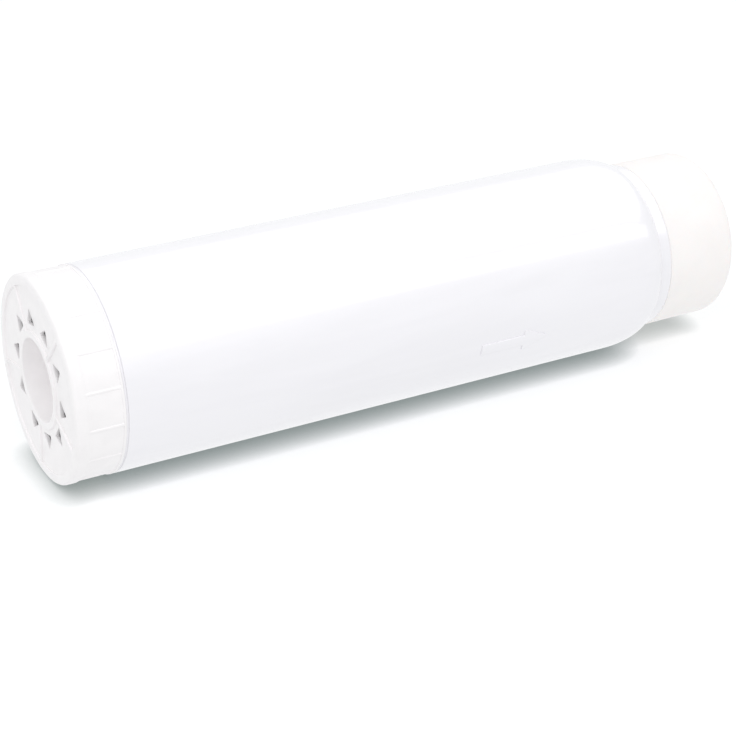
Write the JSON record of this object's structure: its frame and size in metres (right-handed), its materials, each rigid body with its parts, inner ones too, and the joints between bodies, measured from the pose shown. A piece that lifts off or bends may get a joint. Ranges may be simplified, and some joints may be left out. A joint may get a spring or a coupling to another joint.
{
  "type": "activated carbon filter cartridge",
  "caption": "Drop-in carbon filter cartridge: white tube with a screwed slotted inlet cap, packed carbon bed and a soft outlet seal.",
  "frame": {"origin": "centre of the end cap's flat face, on which the cartridge stands", "axes": "+Z along the cartridge's axis from the inlet cap to the outlet seal, which is the way the water flows; the flow arrow faces -Y"},
  "size_m": [0.069, 0.0694, 0.254],
  "materials": {
    "housing": "glossy",
    "end_cap": "satin",
    "cap_gasket": "matte",
    "foam": "open foam",
    "felt": "felt",
    "carbon": "granular",
    "seal": "satin"
  },
  "bodies": {
    "housing_body": {"housing": "housing", "inlet_foam": "foam", "inlet_felt": "felt", "carbon_bed": "carbon", "outlet_felt": "felt", "outlet_foam": "foam", "outlet_grid": "housing", "seal_sleeve": "seal"},
    "gasket_body": {"cap_gasket": "cap_gasket"},
    "cap_body": {"end_cap": "end_cap"}
  },
  "joints": [
    {"name": "cap_travel", "type": "slide", "parent": "housing_body", "child": "gasket_body", "axis": [0, 0, -1], "range_m": [0, 0.012]},
    {"name": "cap_turn", "type": "hinge", "parent": "gasket_body", "child": "cap_body", "pos_m": [0, 0, 0], "axis": [0, 0, -1], "range_deg": [0, 1440]}
  ],
  "couplings": [
    {"joint": "cap_travel", "follows": "cap_turn", "m_per_rad": 0.00047746}
  ]
}
